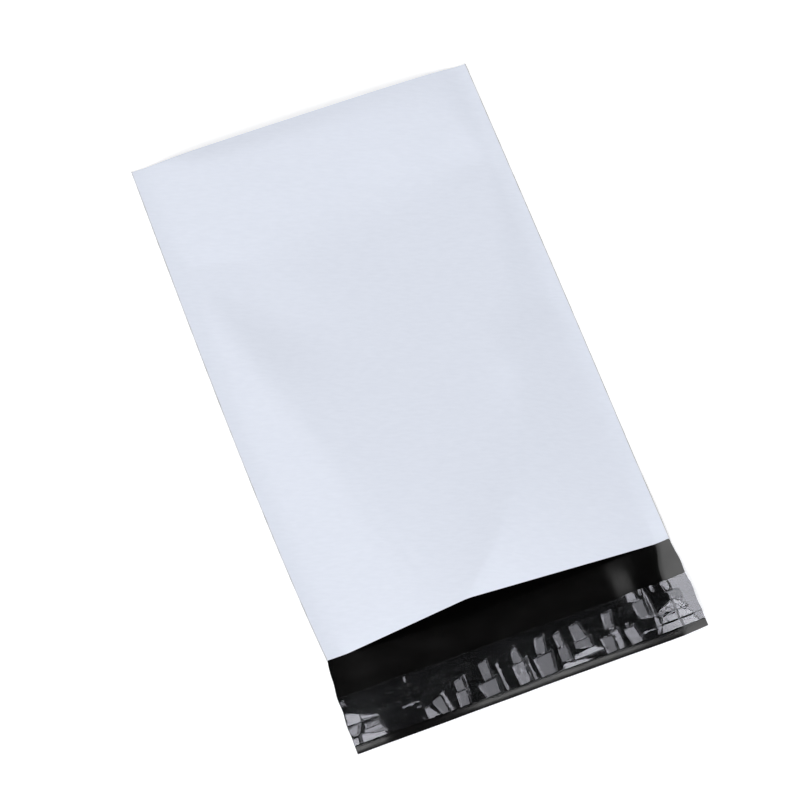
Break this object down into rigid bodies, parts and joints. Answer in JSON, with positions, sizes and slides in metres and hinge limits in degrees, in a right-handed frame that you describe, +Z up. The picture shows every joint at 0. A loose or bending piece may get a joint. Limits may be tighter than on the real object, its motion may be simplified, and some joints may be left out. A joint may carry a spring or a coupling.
{
  "type": "poly mailer bag",
  "caption": "Plastic film mailing bag, white outside and black inside, with welded sides, a gaping mouth and an adhesive lip under a clear liner.",
  "frame": {"origin": "on the surface that the bag lies on, under the middle of the whole bag", "axes": "+Y along the bag, from the lip to the closed end; +X across the bag; +Z up, out of the front panel"},
  "size_m": [0.1533, 0.2691, 0.015],
  "materials": {
    "film": "satin co-extruded film, white outside, black inside",
    "glue": "clear tacky glue, seen over black film",
    "liner": "clear glossy film"
  },
  "bodies": {
    "root": {"bag_film": "film", "adhesive_strip": "glue", "release_liner": "liner"}
  },
  "joints": []
}
